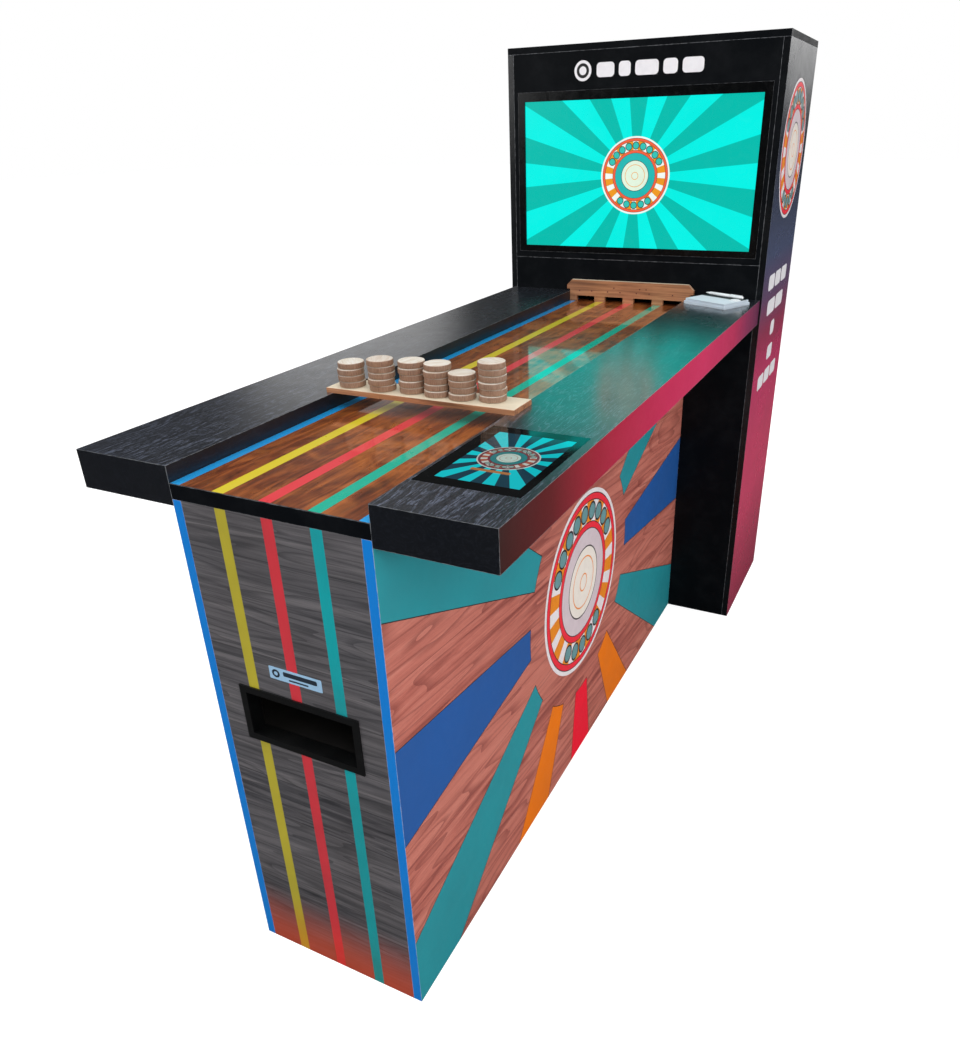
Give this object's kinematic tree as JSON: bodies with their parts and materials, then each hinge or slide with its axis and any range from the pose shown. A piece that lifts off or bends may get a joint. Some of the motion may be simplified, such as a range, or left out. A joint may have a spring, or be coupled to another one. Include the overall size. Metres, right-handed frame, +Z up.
{
  "type": "arcade shuffleboard table",
  "caption": "Sliding-puck shuffleboard table with armrest rails, a four-gate scoring board, puck return, tablet and a display tower.",
  "frame": {"origin": "on the floor, under the middle of the overall length and width", "axes": "+Z up, +X to the player's right, +Y from the player towards the tower"},
  "size_m": [0.7932, 2.131, 1.715],
  "materials": {
    "printed_side": "printed, satin lacquer",
    "printed_front": "printed, satin lacquer",
    "plain_board": "painted board",
    "softwood": "sawn softwood",
    "birch_ply": "sanded plywood",
    "varnished_lane": "high gloss varnish over a print",
    "edge_band": "edge band",
    "black_laminate": "gloss laminate on board",
    "black_board": "satin black laminate on board",
    "printed_tower": "printed, satin lacquer",
    "bracket_steel": "powder coat",
    "slot_plastic": "moulded",
    "beech": "clear lacquer",
    "dot_ink": "inlaid",
    "sensor_plastic": "moulded",
    "bezel_acrylic": "polished sheet",
    "lit_glass": "lit display glass",
    "display_plastic": "moulded",
    "tablet_glass": "lit cover glass",
    "tablet_shell": "moulded",
    "zinc_steel": "zinc plated",
    "lock_chrome": "polished",
    "cam_steel": "zinc plated",
    "fan_plastic": "moulded",
    "computer_case": "textured coat",
    "inlet_plastic": "moulded",
    "rocker_plastic": "moulded",
    "puck_maple": "sanded and waxed",
    "paper": "uncoated paper",
    "pen_plastic": "moulded"
  },
  "bodies": {
    "cabinet": {"base_left_panel": "printed_side", "base_right_panel": "printed_side", "base_front_panel": "printed_front", "base_bottom": "plain_board", "tower_bottom": "plain_board", "tower_shelf": "plain_board", "door_stop": "plain_board", "base_cross_rails": "softwood", "return_tray": "birch_ply", "return_chute": "birch_ply", "chute_fences": "birch_ply", "tray_corner_blocks": "birch_ply", "drop_box": "birch_ply", "lane_board": "varnished_lane", "lane_nosing": "edge_band", "left_rail_shell": "black_laminate", "right_rail_shell": "black_laminate", "rail_bottoms": "black_laminate", "tower_front_lower": "black_board", "tower_front_upper": "black_board", "rear_lower_panel": "black_board", "rear_upper_panel": "black_board", "tower_top": "black_board", "tower_left_side": "printed_tower", "tower_right_side": "printed_tower", "left_rail_brackets": "bracket_steel", "right_rail_brackets": "bracket_steel", "display_bars": "bracket_steel", "tablet_straps": "bracket_steel", "slot_frame": "slot_plastic", "gate_board": "beech", "gate_value_dots": "dot_ink", "gate_sensors": "sensor_plastic", "screen_bezel": "bezel_acrylic", "display_glass": "lit_glass", "display_body": "display_plastic", "tablet_glass": "tablet_glass", "tablet_body": "tablet_shell", "hinge_leaves_fixed": "zinc_steel", "hinge_pins": "zinc_steel", "game_computer": "computer_case", "power_supply": "computer_case", "mains_inlet": "inlet_plastic"},
    "rear_door_assembly": {"rear_door": "black_board", "hinge_leaves_door": "zinc_steel", "lock_barrel": "lock_chrome", "fan_frame": "fan_plastic"},
    "fan_wheel": {"fan_rotor": "fan_plastic"},
    "lock_core": {"lock_plug": "lock_chrome", "lock_cam": "cam_steel"},
    "power_switch": {"power_rocker": "rocker_plastic"},
    "loose_bar": {"puck_bar": "beech"},
    "loose_pads": {"score_pads": "paper"},
    "loose_pen": {"pen": "pen_plastic"},
    "stack_1": {"puck_stack_1": "puck_maple"},
    "stack_2": {"puck_stack_2": "puck_maple"},
    "stack_3": {"puck_stack_3": "puck_maple"},
    "stack_4": {"puck_stack_4": "puck_maple"},
    "stack_5": {"puck_stack_5": "puck_maple"},
    "stack_6": {"puck_stack_6": "puck_maple"}
  },
  "joints": [
    {"name": "rear_door_swing", "type": "hinge", "parent": "cabinet", "child": "rear_door_assembly", "pos_m": [0.3776, 1.061, 0.955], "axis": [0, 0, -1], "range_deg": [0, 110]},
    {"name": "fan_spin", "type": "hinge", "parent": "rear_door_assembly", "child": "fan_wheel", "pos_m": [0, 1.03, 1.3], "axis": [0, 1, 0], "continuous": true},
    {"name": "lock_turn", "type": "hinge", "parent": "rear_door_assembly", "child": "lock_core", "pos_m": [-0.3356, 1.0565, 0.955], "axis": [0, 1, 0], "range_deg": [0, 90]},
    {"name": "power_switch_rock", "type": "hinge", "parent": "cabinet", "child": "power_switch", "pos_m": [-0.29, 1.0545, 0.187], "axis": [0, 0, 1], "range_deg": [0, 16]},
    {"name": "puck_bar_lift", "type": "slide", "parent": "cabinet", "child": "loose_bar", "axis": [0, 0, 1], "range_m": [0, 0.12]},
    {"name": "puck_stack_1_lift", "type": "slide", "parent": "loose_bar", "child": "stack_1", "axis": [0, 0, 1], "range_m": [0, 0.15]},
    {"name": "puck_stack_2_lift", "type": "slide", "parent": "loose_bar", "child": "stack_2", "axis": [0, 0, 1], "range_m": [0, 0.15]},
    {"name": "puck_stack_3_lift", "type": "slide", "parent": "loose_bar", "child": "stack_3", "axis": [0, 0, 1], "range_m": [0, 0.15]},
    {"name": "puck_stack_4_lift", "type": "slide", "parent": "loose_bar", "child": "stack_4", "axis": [0, 0, 1], "range_m": [0, 0.15]},
    {"name": "puck_stack_5_lift", "type": "slide", "parent": "loose_bar", "child": "stack_5", "axis": [0, 0, 1], "range_m": [0, 0.15]},
    {"name": "puck_stack_6_lift", "type": "slide", "parent": "loose_bar", "child": "stack_6", "axis": [0, 0, 1], "range_m": [0, 0.15]},
    {"name": "score_pads_lift", "type": "slide", "parent": "cabinet", "child": "loose_pads", "axis": [0, 0, 1], "range_m": [0, 0.1]},
    {"name": "pen_lift", "type": "slide", "parent": "loose_pads", "child": "loose_pen", "axis": [0, 0, 1], "range_m": [0, 0.08]}
  ]
}
